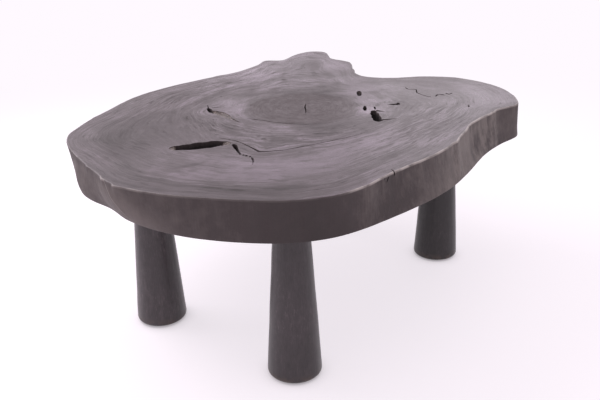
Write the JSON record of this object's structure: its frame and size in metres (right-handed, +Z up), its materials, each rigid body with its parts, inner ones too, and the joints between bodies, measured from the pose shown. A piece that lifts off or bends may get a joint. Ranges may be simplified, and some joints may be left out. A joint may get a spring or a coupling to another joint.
{
  "type": "live edge coffee table",
  "caption": "Low coffee table: a thick charred slab sawn across a trunk, with its wavy live edge and rot pockets kept, on turned cone legs drawn up by hanger bolts.",
  "frame": {"origin": "on the floor, under the middle of the slab's bounding box", "axes": "+Z up; +X along the long side of the legs' rectangle, towards the end with the neck and the root flare; +Y towards the long far shoulder"},
  "size_m": [1.1355, 0.8524, 0.42],
  "materials": {
    "charred_slab_wood": "charred, brushed and oiled, with a soft sheen on the top",
    "charred_leg_wood": "turned smooth, charred and oiled",
    "zinc_steel": "zinc plated",
    "dark_felt": "pressed felt"
  },
  "bodies": {
    "root": {"slab_top": "charred_slab_wood", "leg_left_near": "charred_leg_wood", "leg_right_near": "charred_leg_wood", "leg_right_far": "charred_leg_wood", "leg_left_far": "charred_leg_wood", "felt_glide_left_near": "dark_felt", "felt_glide_right_near": "dark_felt", "felt_glide_right_far": "dark_felt", "felt_glide_left_far": "dark_felt", "hanger_bolt_left_near": "zinc_steel", "hanger_bolt_right_near": "zinc_steel", "hanger_bolt_right_far": "zinc_steel", "hanger_bolt_left_far": "zinc_steel", "threaded_insert_left_near": "zinc_steel", "threaded_insert_right_near": "zinc_steel", "threaded_insert_right_far": "zinc_steel", "threaded_insert_left_far": "zinc_steel"}
  },
  "joints": []
}
